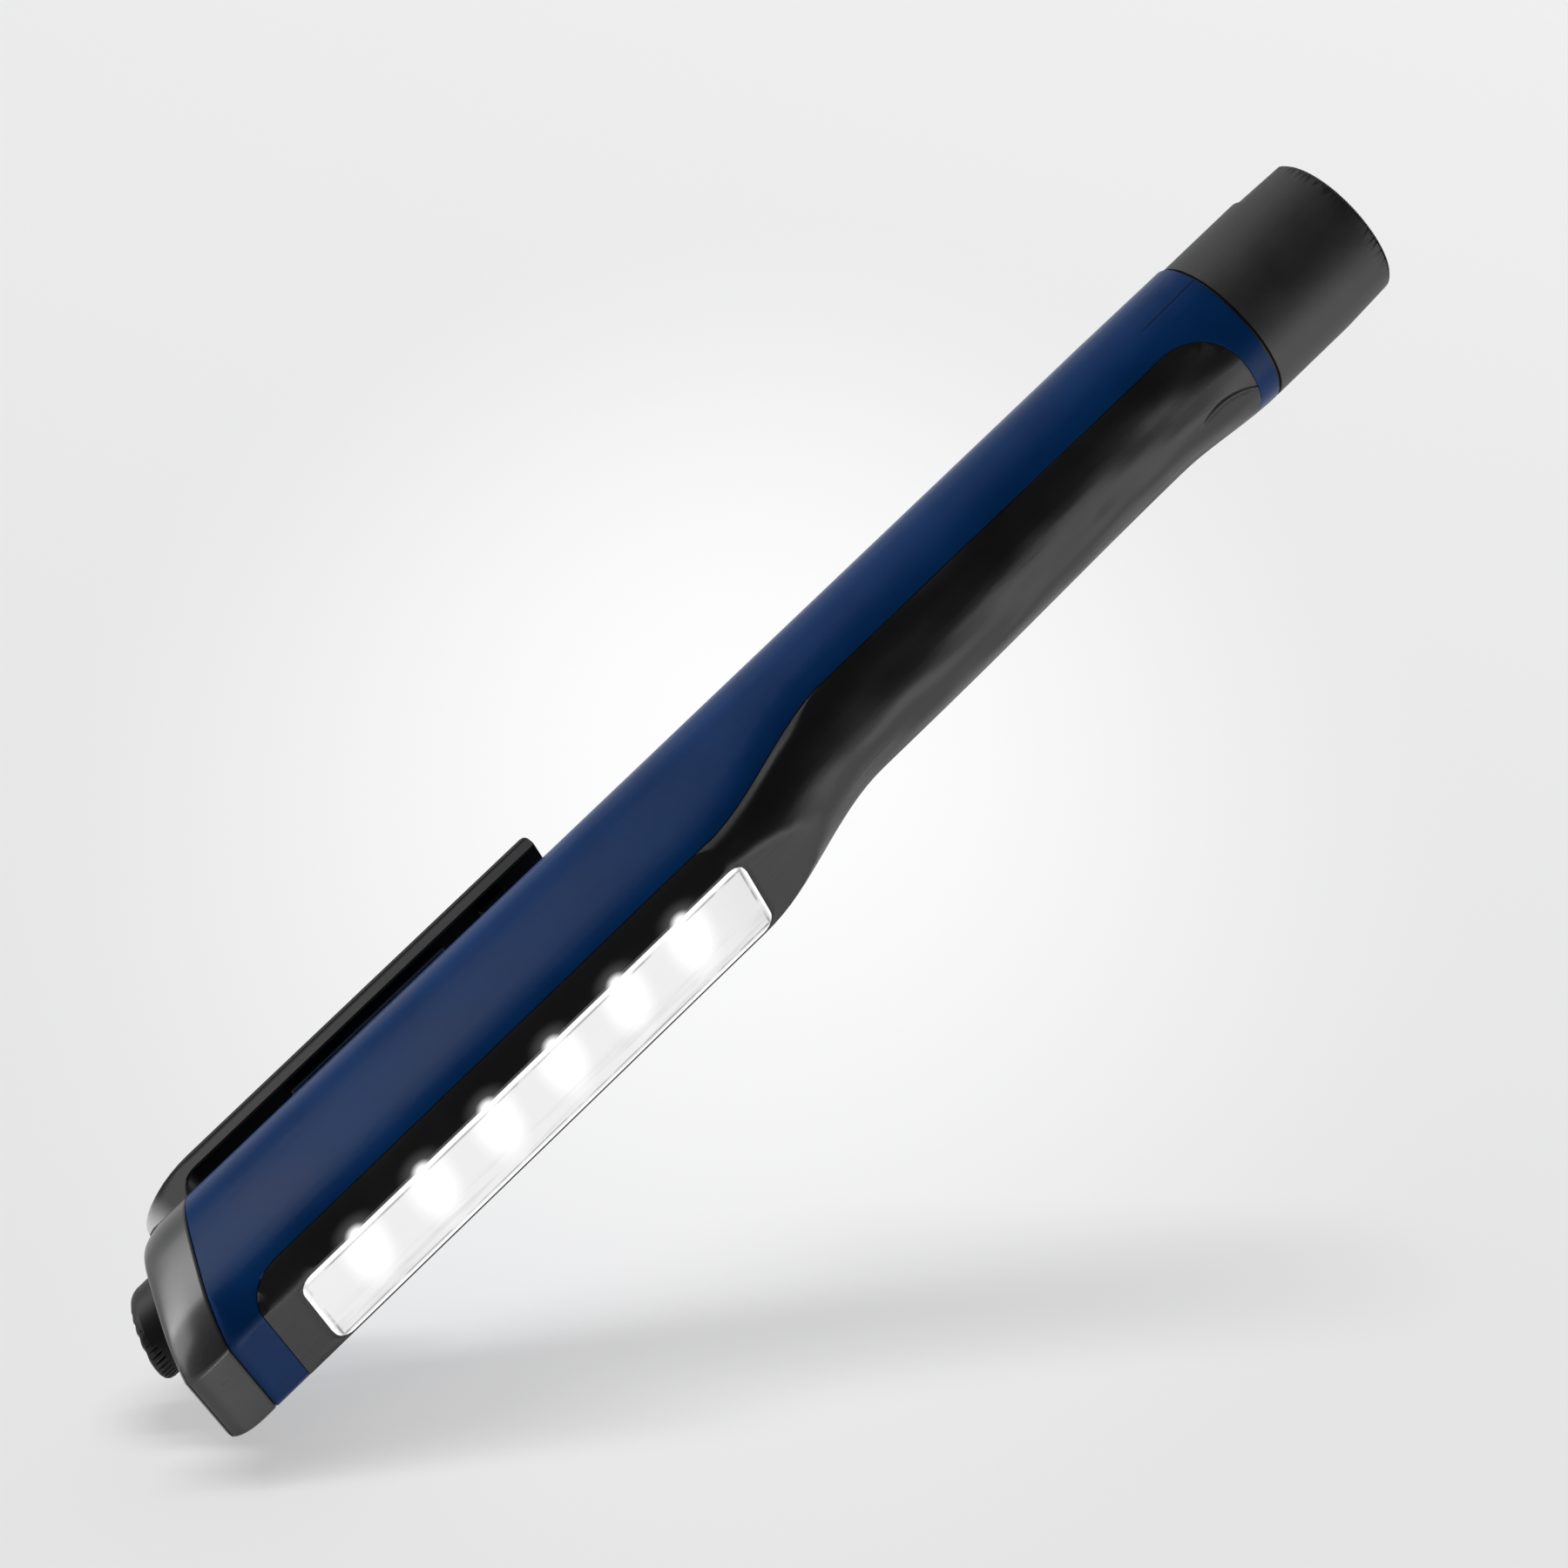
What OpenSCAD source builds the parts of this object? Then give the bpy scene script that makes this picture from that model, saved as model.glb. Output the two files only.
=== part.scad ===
// Pen flashlight: six side lamps in a swollen lamp section, one lamp in a screw-on head.
// X runs along the battery bore towards the head lamp, and Z towards the side lamps.
// The origin is on the bore axis, at the rear face of the head.

/* [Body] */
// Wall of the body beside the bore
side_wall = 2.97; // [2.8:0.01:3.3]
// How far the centre of the back's curve lies behind the bore axis
back_offset = 0.66; // [0.6:0.02:0.9]
// How much larger than the rounded back the collar is, where it meets the head
collar_swell = 0.31; // [0.2:0.01:0.6]
// How far the collar's centre lies behind the bore axis
collar_offset = 0.15; // [0:0.05:0.3]
// Length of the body beyond its three cells, for the spring and the switch
switch_room = 5; // [4.8:0.1:7]
// Length of the neck, from the head to the bend
neck_length = 56.9; // [50:0.1:60]
// Length of the bend between the neck and the lamp section
bend_length = 20.8; // [16:0.2:26]
// How far the front of the lamp section is carried forward of the bore axis
lamp_rise = 4.22; // [4:0.02:4.6]
// How far the front of the neck is carried back from the bore axis
neck_drop = 0.5; // [0.3:0.05:0.7]
// How far the flat face round the lamps lies below the top of the front curve
face_cut = 2.09; // [1.9:0.01:2.3]
// How much slimmer the grip gets towards the collar
grip_relief = 0.7; // [0:0.05:0.8]
// Depth of the thumb rest in the grip
thumb_depth = 0.25; // [0:0.05:0.4]
// Length over which the grip flares out into the collar
flare_length = 12.2; // [9:0.1:16]

/* [Battery bore] */
// Diameter of one cell
cell_d = 10.5; // [10.4:0.1:10.6]
// Length of one cell with its button
cell_length = 44.5; // [44:0.1:45]
// Radial room round the cells
cell_clearance = 0.2; // [0.15:0.05:0.3]
// Wall between the bore and the front insert
bore_wall = 0.75; // [0.6:0.05:0.9]
// Thickness of a cell's printed sleeve
sleeve_wall = 0.15; // [0.1:0.01:0.25]

/* [Front insert] */
// How far the insert's edge lies below the top of the front curve
insert_depth = 4.57; // [4:0.01:5]
// Gap between the insert and the body
insert_gap = 0.06; // [0.03:0.01:0.15]
// Blue band left between the insert's tip and the seal
insert_tip_band = 2.45; // [1.8:0.05:5]
// Length of the insert's rounded tip
insert_tip_length = 7; // [4:0.5:12]
// Black bezel beyond the lens at the tail end
insert_tail_margin = 4.3; // [3:0.1:5]
// Thickness of the bezel over the lens flange
bezel_wall = 0.95; // [0.7:0.05:1]

/* [Side lamps] */
// Distance from the lens window to the tail cap's seam, on the bore axis
lens_tail = 3.85; // [3.6:0.05:6]
// Width of the lens window
lens_width = 10.2; // [9:0.1:10.6]
// Corner radius of the lens window
lens_corner = 1.7; // [0.8:0.1:3]
// How far the lens stands proud of the face
lens_proud = 0.2; // [0:0.05:0.4]
// Width of the lens's hidden flange
lens_flange = 0.6; // [0.3:0.05:0.7]
// Distance from the head end of the lens to the start of the bend, into the bend
lens_overrun = 1.6; // [0:0.1:2]
// Number of side lamps
lamp_count = 6; // [4:1:6]
// Distance from the lens window's tail end to the first lamp
lamp_tail_margin = 7.35; // [6:0.05:8]
// Distance from the last lamp to the lens window's head end
lamp_head_margin = 8.35; // [6:0.05:9]
// Thickness of the lamp board
board_t = 1; // [0.8:0.1:1.2]
// Height of a lamp's package
lamp_t = 1.1; // [0.8:0.1:1.2]

/* [Tail cap] */
// Angle of the seam between body and cap, from square
seam_angle = 24.5; // [15:0.5:26]
// Length of the cap on the bore axis
cap_length = 5.9; // [5.5:0.1:8]
// Angle of the cap's end, from square
end_angle = 23.2; // [15:0.2:24]
// Length of the rounding round the cap's end
cap_round = 4; // [1:0.1:4]
// How far the rounding comes in
cap_inset = 1.05; // [0.5:0.05:1.5]
// Outer radius of the skirt that plugs the cap into the body
skirt_radius = 6.25; // [6:0.05:6.4]
// Wall of the skirt
skirt_wall = 0.75; // [0.6:0.05:0.8]
// How far the skirt's centre lies behind the bore axis
skirt_offset = 1.6; // [1.4:0.1:1.7]

/* [Push button] */
// Radius of the button
button_radius = 4.3; // [3.8:0.1:4.5]
// How far the button's axis lies behind the bore axis
button_offset = 2; // [1.8:0.1:2.1]
// How far the button stands out of the cap
button_proud = 4; // [2.5:0.1:5]
// Angle of the button's end, from square
button_angle = 25; // [10:0.5:28]
// Rounding of the button's edge
button_round = 1; // [0.4:0.1:1.2]
// How far the button travels
button_travel = 1.2; // [0.8:0.1:1.3]
// Distance between the ribs on the button's end
rib_pitch = 1.1; // [0.8:0.1:1.6]
// Depth of the ribs
rib_depth = 0.35; // [0.2:0.05:0.5]
// Radial clearance of the button in the cap
button_clearance = 0.08; // [0.05:0.01:0.1]

/* [Clip] */
// Length of the clip from its root to its free end
clip_length = 53.85; // [40:0.05:60]
// Width of the clip
clip_width = 7.5; // [6:0.1:8]
// Thickness of the clip's strip
clip_t = 2.45; // [1.9:0.05:2.6]
// Gap between the clip and the back of the body
clip_gap = 1.4; // [1.1:0.05:1.6]
// Length over which the root curves away from the cap
clip_root = 8.2; // [7:0.1:10]
// How far the clip opens, in degrees
clip_open = 4.5; // [2:0.5:4.5]
// Radius of the bead that holds the clip in the cap
bead_radius = 0.7; // [0.6:0.05:0.75]
// Length of the magnet in the clip
magnet_length = 20.6; // [12:0.1:24]
// Width of the magnet
magnet_width = 4.8; // [3.5:0.1:5.4]
// Thickness of the magnet
magnet_t = 1.2; // [0.8:0.05:1.4]
// Distance from the clip's free end to the magnet
magnet_setback = 13.65; // [12:0.05:16]
// Distance from the clip's free end to the pad's far side
pad_setback = 8.75; // [6:0.05:10]

/* [Head] */
// Length of the head
head_length = 16.65; // [16.2:0.05:20]
// How far the head's barrel lies inside the body's collar
head_step = 0.13; // [0.05:0.01:0.3]
// How much the head narrows from its barrel to its rim
rim_drop = 0.28; // [0.1:0.02:0.4]
// Length of the gripping barrel
barrel_length = 10.4; // [8:0.1:12]
// Depth of the relief in the back of the head's front part
head_relief = 0.5; // [0.2:0.05:0.55]
// How steeply the relief deepens towards the rim, in degrees
relief_slope = 2.5; // [0:0.5:3]
// Outer radius of the body's spigot inside the head
spigot_radius = 6.9; // [6.7:0.05:7]
// Length of the spigot
spigot_length = 5.3; // [4.9:0.1:5.4]
// Radial clearance between spigot and head
spigot_clearance = 0.08; // [0.05:0.01:0.1]
// Thickness of the seal between body and head
seal_t = 0.3; // [0.2:0.05:0.5]

/* [Hidden] */

// Small fits that several pieces share
touch_gap = 0.05;
fine = 96;
far = 60;

// The cells set the bore, and the bore sets the outside
bore_radius = cell_d / 2 + cell_clearance;
tube_radius = bore_radius + bore_wall;
body_radius = bore_radius + side_wall;
collar_radius = body_radius + collar_swell;
head_radius = collar_radius - head_step;
rim_radius = head_radius - rim_drop;
lamp_face = lamp_rise + body_radius - face_cut;
insert_edge = body_radius - insert_depth;
body_length = 3 * cell_length + switch_room;

// Places along the body
body_front = -seal_t - touch_gap;
seam_x = body_front - body_length;
seam_slope = tan(seam_angle);
end_slope = tan(end_angle);
button_slope = tan(button_angle);
end_x = seam_x - cap_length;
bend_end = -neck_length;
bend_start = bend_end - bend_length;
back_z = -back_offset - body_radius;

// The cells, from the head contact backwards
contact_height = 1.4;
head_board_x = spigot_length + 0.3;
head_board_t = 1;
cell_front = head_board_x - contact_height;
cell_back = cell_front - 3 * cell_length;

// The side lamps, built up from the pocket's floor to the bezel
pocket_floor = tube_radius + 0.4;
lens_x1 = bend_start + lens_overrun;
lens_x0 = seam_x + lens_tail;
lens_length = lens_x1 - lens_x0;
lamp_pitch = (lens_length - lamp_tail_margin - lamp_head_margin) / (lamp_count - 1);
bezel_floor = lamp_face - bezel_wall;
flange_t = 0.4;
reflector_top = bezel_floor - flange_t;
board_top = pocket_floor + board_t;
pocket_half = lens_width / 2 + lens_flange + 0.1;
board_x0 = lens_x0 - 2.2;
board_x1 = lens_x1 + 1;
insert_x0 = lens_x0 - insert_tail_margin;

// The switch, counted forwards from the seam
switch_board_x = seam_x + 3.9;
switch_board_t = 1;
switch_body_t = 3.2;
socket_floor = switch_board_x + switch_board_t;
contact_t = 0.4;
cap_floor = seam_x - 2.1;
flange_width = 1.1;
skirt_inner = skirt_radius - skirt_wall;
button_floor = end_x + 0.2;

// The clip's curve, from the cap's back to the strip
clip_outer_z = back_z - clip_gap - clip_t;
clip_inner_z = back_z - clip_gap;
clip_x1 = seam_x - 1.9 + clip_length;
clip_curve_x = clip_x1 - clip_length + clip_root;
bead_x = seam_x;
bead_z = back_z + 0.87;
magnet_x1 = clip_x1 - magnet_setback;
nub_x0 = clip_x1 - pad_setback;

function smooth(t) = let(c = min(1, max(0, t))) c * c * (3 - 2 * c);
function mix(a, b, t) = a + (b - a) * t;

// Centre of the front curve, which is carried forward in the lamp section
function crown(x) = mix(lamp_rise, -neck_drop, smooth((x - bend_start) / bend_length));

// Half height of the front curve, a little flatter where the hand holds it
function front_half(x) = body_radius - grip_relief * smooth((x - bend_end - 8) / 36);

// One point of the body's outline at x, at an angle from the lamp side
function dish(x, a) = thumb_depth * smooth(1 - abs(x + flare_length + 3) / 10)
    * smooth(1 - abs(sin(a)) / 0.8) * (cos(a) > 0 ? 1 : 0);
function body_centre(x, a) = mix(-back_offset, crown(x), smooth((105 - a) / 30));
function body_point(x, a, side) = let(
        flare = smooth((x - body_front + flare_length) / flare_length),
        half = cos(a) > 0 ? front_half(x) : body_radius,
        y = mix(body_radius * sin(a), collar_radius * sin(a), flare),
        z = mix(body_centre(x, a) + half * cos(a), collar_radius * cos(a) - collar_offset, flare))
    [x, side * y, z - dish(x, a)];

// The body's skin is lofted through rings of points
ring_count = 48;
function ring_angle(i) = i <= ring_count / 2 ? i * 360 / ring_count : 360 - i * 360 / ring_count;
function ring_side(i) = i <= ring_count / 2 ? 1 : -1;
bend_stations = [for (i = [0:16]) bend_start + bend_length * i / 16];
grip_stations = [for (x = [bend_end + 9:6:body_front - flare_length - 5]) x];
flare_stations = [for (i = [0:10]) body_front - (flare_length + 2) * (1 - i / 10)];
stations = concat([seam_x - 15], bend_stations, grip_stations, flare_stations);

// Faces of a closed loft through rings of n points each
function loft_faces(rings, n) = concat(
    [[for (i = [n - 1:-1:0]) i]],
    [[for (i = [0:n - 1]) (rings - 1) * n + i]],
    [for (r = [0:rings - 2]) for (i = [0:n - 1])
        [r * n + i, r * n + (i + 1) % n, (r + 1) * n + (i + 1) % n, (r + 1) * n + i]]);

module loft(rings) {
    n = len(rings[0]);
    polyhedron([for (r = rings) for (p = r) p], loft_faces(len(rings), n), convexity = 6);
}

// A flat outline in the XZ plane, extruded across the width
module side_prism(outline, width = 2 * far) {
    rotate([90, 0, 0])
        linear_extrude(height = width, center = true) polygon(outline);
}

// A cylinder along X from x0 to x1
module rod(x0, x1, radius, z = 0, y = 0) {
    translate([x0, y, z]) rotate([0, 90, 0]) cylinder(r = radius, h = x1 - x0, $fn = fine);
}

// A block given by its lowest and highest corners
module block(low, high) {
    translate(low) cube(high - low);
}

// A shape turned about X from [x, radius] points
module turned(outline) {
    rotate([0, 90, 0]) rotate_extrude($fn = fine)
        polygon([for (p = outline) [p[1], p[0]]]);
}

// A rounded rectangle in the XY plane
function corner_arc(cx, cy, radius, start) = [for (i = [0:6])
    [cx + radius * cos(start + 15 * i), cy + radius * sin(start + 15 * i)]];
function rounded_outline(x0, x1, half, radius) = concat(
    corner_arc(x1 - radius, half - radius, radius, 0),
    corner_arc(x0 + radius, half - radius, radius, 90),
    corner_arc(x0 + radius, -half + radius, radius, 180),
    corner_arc(x1 - radius, -half + radius, radius, 270));

module rounded_block(x0, x1, half, radius, z0, z1) {
    translate([0, 0, z0]) linear_extrude(height = z1 - z0)
        polygon(rounded_outline(x0, x1, half, radius));
}

// Everything behind the slanted seam between body and cap
module behind_seam(shift = 0) {
    side_prism([[seam_x + shift + seam_slope * 20, -20], [seam_x + shift - seam_slope * 20, 20],
        [seam_x - far, 20], [seam_x - far, -20]]);
}

// Everything ahead of the seam, less a small gap that the cap leaves
module ahead_of_seam(shift = 0) {
    side_prism([[seam_x + shift + seam_slope * 20, -20], [seam_x + shift - seam_slope * 20, 20],
        [far, 20], [far, -20]]);
}

// The body's whole outer form, cut flat round the lamps and along the seam
module body_form() {
    difference() {
        loft([for (x = stations) [for (i = [0:ring_count - 1])
            body_point(x, ring_angle(i), ring_side(i))]]);
        block([seam_x - far, -far, lamp_face], [bend_end, far, far]);
        behind_seam();
    }
}

// Side view of the space that the insert fills, made larger by grow
tip_centre = body_front - insert_tip_band - insert_tip_length;
tip_rise = 5.7;
tail_rise = 2.8;
tail_curve = 4.85;
function insert_floor(x, grow) = crown(x) + insert_edge - grow;
function tail_arc(grow) = [for (i = [0:8]) let(a = 85 - 85 * i / 8)
    [insert_x0 + tail_curve - (tail_curve + grow) * sin(a),
        insert_floor(insert_x0, 0) + tail_rise - (tail_rise + grow) * cos(a)]];
function tip_arc(grow) = [for (i = [0:10]) let(a = 88 * i / 10)
    [tip_centre + (insert_tip_length + grow) * sin(a),
        insert_floor(tip_centre, 0) + tip_rise - (tip_rise + grow) * cos(a)]];
function bend_floor(grow) = [for (i = [1:15]) let(x = bend_start + bend_length * i / 16)
    [x, insert_floor(x, grow)]];
module insert_space(grow) {
    difference() {
        side_prism(concat(tail_arc(grow), bend_floor(grow), tip_arc(grow),
            [[body_front - insert_tip_band + grow, 20], [insert_x0 - grow, 20]]));
        rod(seam_x - far, far, tube_radius + insert_gap / 2 - grow / 2);
    }
}

module body_shell() {
    color("#26406e") difference() {
        union() {
            difference() {
                body_form();
                insert_space(insert_gap);
            }
            rod(body_front - 2, spigot_length, spigot_radius);
        }
        rod(socket_floor - 0.6, far, bore_radius);
        rod(seam_x - far, socket_floor, skirt_radius + touch_gap, -skirt_offset);
        // Pocket for the lamp board, open towards the insert
        block([board_x0 - 0.2, -pocket_half, pocket_floor], [board_x1 + 0.2, pocket_half, far]);
        // Groove for the return strip along the back of the bore
        block([socket_floor - 0.1, -strip_half - 0.1, -bore_radius - strip_t - 0.1],
            [far, strip_half + 0.1, -bore_radius + 1]);
        // Holes for the pins between the two boards
        for (side = [-1, 1])
            translate([pin_x, side * pin_y, 0]) cylinder(r = pin_radius + 0.15, h = far, $fn = 24);
    }
}

module front_insert() {
    color("#1c1c1e") difference() {
        intersection() {
            body_form();
            insert_space(0);
        }
        // Room for the board, reflector and lens flange
        block([board_x0 - 0.2, -pocket_half, -far], [board_x1 + 0.2, pocket_half, bezel_floor]);
        rounded_block(lens_x0 - touch_gap, lens_x1 + touch_gap, lens_width / 2 + touch_gap,
            lens_corner, 0, far);
    }
}

module strip_lens() {
    color("#f4f8ff", 0.6) union() {
        rounded_block(lens_x0, lens_x1, lens_width / 2, lens_corner,
            bezel_floor - 0.1, lamp_face + lens_proud);
        rounded_block(lens_x0 - lens_flange, lens_x1 + lens_flange, lens_width / 2 + lens_flange,
            lens_corner, reflector_top, bezel_floor);
    }
}

// Places of the side lamps
lamp_places = [for (i = [0:lamp_count - 1]) lens_x0 + lamp_tail_margin + i * lamp_pitch];
well_bottom = 2.5;
well_top = 3.95;
lamp_half_x = 1.75;
lamp_half_y = 1.4;

module strip_reflector() {
    color("#f2f2f0") difference() {
        block([lens_x0 - lens_flange, -pocket_half + 0.1, board_top],
            [lens_x1 + lens_flange, pocket_half - 0.1, reflector_top]);
        for (x = lamp_places)
            translate([x, 0, board_top - 0.01])
                cylinder(r1 = well_bottom, r2 = well_top, h = reflector_top - board_top + 0.02,
                    $fn = 48);
    }
}

module strip_board() {
    color("#e9ecea") block([board_x0, -pocket_half + 0.1, pocket_floor],
        [board_x1, pocket_half - 0.1, board_top]);
}

module strip_leds() {
    for (x = lamp_places) translate([x, 0, board_top]) {
        color("#f5f5f0") block([-lamp_half_x, -lamp_half_y, 0], [lamp_half_x, lamp_half_y, lamp_t]);
        color("#ffe98a") translate([0, 0, lamp_t - 0.05]) cylinder(r = 1.15, h = 0.2, $fn = 32);
    }
}

module strip_resistors() {
    color("#222222") for (y = [-3.6, -1.2, 1.2, 3.6])
        block([board_x0 + 0.3, y - 0.6, board_top], [board_x0 + 1.2, y + 0.6, board_top + 0.5]);
}

// The cap's outline runs from one corner of the flat lamp face round the back to the other
face_corner = acos((lamp_face - lamp_rise) / body_radius);
cap_middle = (lamp_face + back_z) / 2;
cap_steps = 44;
function cap_angle(i) = face_corner + (360 - 2 * face_corner) * i / cap_steps;
function cap_centre(a) = mix(-back_offset, lamp_rise, smooth((105 - min(a, 360 - a)) / 30));
function cap_section(i) = let(a = cap_angle(i))
    [body_radius * sin(a), cap_centre(a) + body_radius * cos(a)];
function cap_shrink(a) = 1 - cap_inset * (1 - cos(a)) / body_radius;
function cap_ring(depth, scale_by) = [for (i = [0:cap_steps]) let(p = cap_section(i),
        y = p[0] * scale_by,
        z = cap_middle + (p[1] - cap_middle) * scale_by)
    [end_x - end_slope * z + depth, y, z]];
cap_rounding = [for (i = [0:8]) let(a = 90 - 90 * i / 8)
    cap_ring(cap_round * (1 - sin(a)), cap_shrink(a))];

module tail_cap() {
    color("#4a4a4c") difference() {
        union() {
            difference() {
                loft(concat(cap_rounding, [cap_ring(cap_length + 12, 1)]));
                ahead_of_seam(-touch_gap);
            }
            rod(cap_floor, switch_board_x, skirt_radius, -skirt_offset);
        }
        rod(cap_floor, far, skirt_inner, -skirt_offset);
        rod(seam_x - far, 0, button_radius + button_clearance, -button_offset);
        clip_groove();
    }
}

// Space in the cap for the clip's bead and web, with room for the clip to open
bead_half = clip_width / 2 - 0.2;
web_half = 0.5;
module clip_groove() {
    translate([bead_x, 0, bead_z]) rotate([90, 0, 0])
        cylinder(r = bead_radius + touch_gap, h = 2 * bead_half + 0.2, center = true, $fn = 48);
    block([bead_x - web_half - 0.15, -bead_half - 0.1, bead_z - far],
        [bead_x + web_half + 0.15, bead_half + 0.1, bead_z]);
}

// The clip's side view: outer and inner edge points at each station
root_height = back_z + 0.5 - clip_outer_z;
function clip_outer(a) = [clip_curve_x - clip_root * cos(a), clip_outer_z + root_height * (1 - sin(a))];
function clip_inner(a) = [clip_curve_x - 0.4 - (clip_root - 5.8) * cos(a),
    clip_inner_z + (clip_gap + 1.2) * (1 - sin(a))];
clip_stations = concat(
    [for (i = [0:9]) let(a = 4 + 86 * i / 9) [clip_outer(a), clip_inner(a)]],
    [[[clip_x1 - 0.6, clip_outer_z], [clip_x1 - 0.3, clip_inner_z]],
        [[clip_x1 - 0.2, clip_outer_z + 0.12], [clip_x1 - 0.1, clip_inner_z - 0.05]],
        [[clip_x1, clip_outer_z + 0.45], [clip_x1, clip_inner_z - 0.35]]]);

// Cross-section of the strip: share of the thickness, and inset of the edge
clip_edge = [[0, 0.15], [0.08, 0], [0.55, 0], [0.88, 0.3], [1, 0.75]];
function clip_ring_point(s, e, side) = let(p = mix(s[1], s[0], e[0]))
    [p[0], side * (clip_width / 2 - e[1]), p[1]];
function clip_ring(s) = concat(
    [for (i = [0:4]) clip_ring_point(s, clip_edge[i], 1)],
    [for (i = [4:-1:0]) clip_ring_point(s, clip_edge[i], -1)]);

module clip() {
    color("#1a1a1b") difference() {
        union() {
            difference() {
                loft([for (s = clip_stations) clip_ring(s)]);
                rod(seam_x - far, seam_x + 8, body_radius + 0.25, -back_offset);
            }
            // Low pad near the free end, which holds a pocket's edge
            side_prism([[nub_x0, clip_inner_z - 0.2], [nub_x0 + 0.4, clip_inner_z + 0.6],
                [nub_x0 + 3.3, clip_inner_z + 0.6], [nub_x0 + 3.7, clip_inner_z - 0.2]], magnet_width);
            block([bead_x - web_half, -bead_half, bead_z - 1.9],
                [bead_x + web_half, bead_half, bead_z]);
            translate([bead_x, 0, bead_z]) rotate([90, 0, 0])
                cylinder(r = bead_radius, h = 2 * bead_half, center = true, $fn = 48);
        }
        block([magnet_x1 - magnet_length - touch_gap, -magnet_width / 2 - touch_gap, magnet_z],
            [magnet_x1 + touch_gap, magnet_width / 2 + touch_gap, 0]);
    }
}

magnet_z = clip_inner_z - magnet_t + 0.35;
module clip_magnet() {
    color("#5a5a5c") block([magnet_x1 - magnet_length, -magnet_width / 2, magnet_z],
        [magnet_x1, magnet_width / 2, magnet_z + magnet_t]);
}

// The ribbed end of the button, seen from the side
rib_steps = ceil(2 * (button_radius + 1) / rib_pitch);
function button_end(z) = end_x - button_proud - button_slope * z;
rib_outline = [for (i = [0:2 * rib_steps]) let(
        z = -button_offset - button_radius - 1 + i * rib_pitch / 2)
    [button_end(z) + (i % 2) * rib_depth, z]];

// The button's rounded end, from the slanted face outwards to the full radius
function button_ring(depth, radius) = [for (i = [0:47]) let(
        z = -button_offset + radius * cos(7.5 * i))
    [button_end(z) + depth, radius * sin(7.5 * i), z]];
button_rounding = [for (i = [0:4]) let(a = 90 - 22.5 * i)
    button_ring(button_round * (1 - sin(a)), button_radius - 0.02 - button_round * (1 - cos(a)))];

module push_button() {
    color("#2a2a2b") difference() {
        union() {
            difference() {
                rod(button_end(far / 2), cap_floor + 0.5, button_radius, -button_offset);
                side_prism([[button_end(-20) + button_round, -20], [button_end(20) + button_round, 20],
                    [seam_x - far, 20], [seam_x - far, -20]]);
            }
            loft(concat(button_rounding, [button_ring(button_round + 0.6, button_radius - 0.02)]));
            rod(cap_floor, cap_floor + flange_width, skirt_inner - 0.5, -button_offset);
        }
        side_prism(concat(rib_outline, [[seam_x - far, far / 2], [seam_x - far, -far / 2]]));
        rod(button_floor, far, button_radius - 1.1, -button_offset);
    }
}

plunger_radius = 1.4;
plunger_tip = switch_board_x - 1.6;
module switch_plunger() {
    color("#d8d8d4") rod(button_floor, plunger_tip, plunger_radius, -button_offset);
}

module switch_body() {
    color("#2b2b2b") difference() {
        block([switch_board_x - switch_body_t, -3.3, -button_offset - 3.3],
            [switch_board_x, 3.3, -button_offset + 3.3]);
        rod(switch_board_x - switch_body_t - 1, switch_board_x - 0.2, plunger_radius + 0.06,
            -button_offset);
    }
}

module switch_board() {
    color("#2f6b3c") rod(switch_board_x, socket_floor, skirt_radius - 0.35, -skirt_offset);
}

module tail_contact() {
    color("#c9a24a") rod(socket_floor, socket_floor + contact_t, bore_radius - 0.35);
}

// A wire wound round a line parallel to X, with flat closed ends
function coil_ring(centre, angle, wire, sides) = [for (i = [0:sides - 1]) let(a = 360 * i / sides)
    [centre[0] + wire * sin(a), centre[1] + wire * cos(a) * cos(angle),
        centre[2] + wire * cos(a) * sin(angle)]];
module coil(x0, x1, radius, wire, turns, z = 0) {
    steps = turns * 12;
    echo(least_gap_between_turns = (x1 - x0 - 2 * wire) / turns - 2 * wire);
    loft([for (i = [steps:-1:0]) let(t = i / steps, a = 360 * turns * t,
            x = mix(x0 + wire, x1 - wire, t))
        coil_ring([x, radius * cos(a), z + radius * sin(a)], a, wire, 6)]);
}

module tail_spring() {
    color("#c8ccd0") coil(socket_floor + contact_t, cell_back, 3.9, 0.35, 3);
}

module button_spring() {
    color("#c8ccd0") coil(button_floor, switch_board_x - switch_body_t, 2.25, 0.25, 5,
        -button_offset);
}

// The strip that carries the current back along the bore
strip_half = 1.5;
strip_t = 0.35;
strip_z = -bore_radius - 0.05 - strip_t;
module return_strip() {
    color("#c9a24a") union() {
        block([socket_floor, -strip_half, strip_z], [spigot_length + 0.25, strip_half, strip_z + strip_t]);
        block([spigot_length, -strip_half, strip_z - 0.75],
            [spigot_length + 0.25, strip_half, strip_z + strip_t]);
    }
}

// Two pins from the switch board up to the lamp board
pin_radius = 0.35;
pin_x = switch_board_x + switch_board_t / 2;
pin_y = 1.5;
switch_board_top = -skirt_offset + sqrt(pow(skirt_radius - 0.35, 2) - pow(pin_y - pin_radius, 2));
module lead_pins() {
    color("#c8ccd0") for (side = [-1, 1])
        translate([pin_x, side * pin_y, switch_board_top])
            cylinder(r = pin_radius, h = pocket_floor - switch_board_top, $fn = 24);
}

module seal_washer() {
    color("#101010") difference() {
        rod(body_front, body_front + seal_t, head_radius - 0.3);
        rod(body_front - 1, 1, spigot_radius + touch_gap);
    }
}

// One cell, counted from the head: a steel can with its button, in a printed sleeve
button_height = 1;
module cell_can(index) {
    front = cell_front - index * cell_length;
    color("#b9bdc1") union() {
        rod(front - cell_length, front - button_height, cell_d / 2 - sleeve_wall);
        rod(front - button_height - 1, front, 1.9);
    }
}

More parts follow.
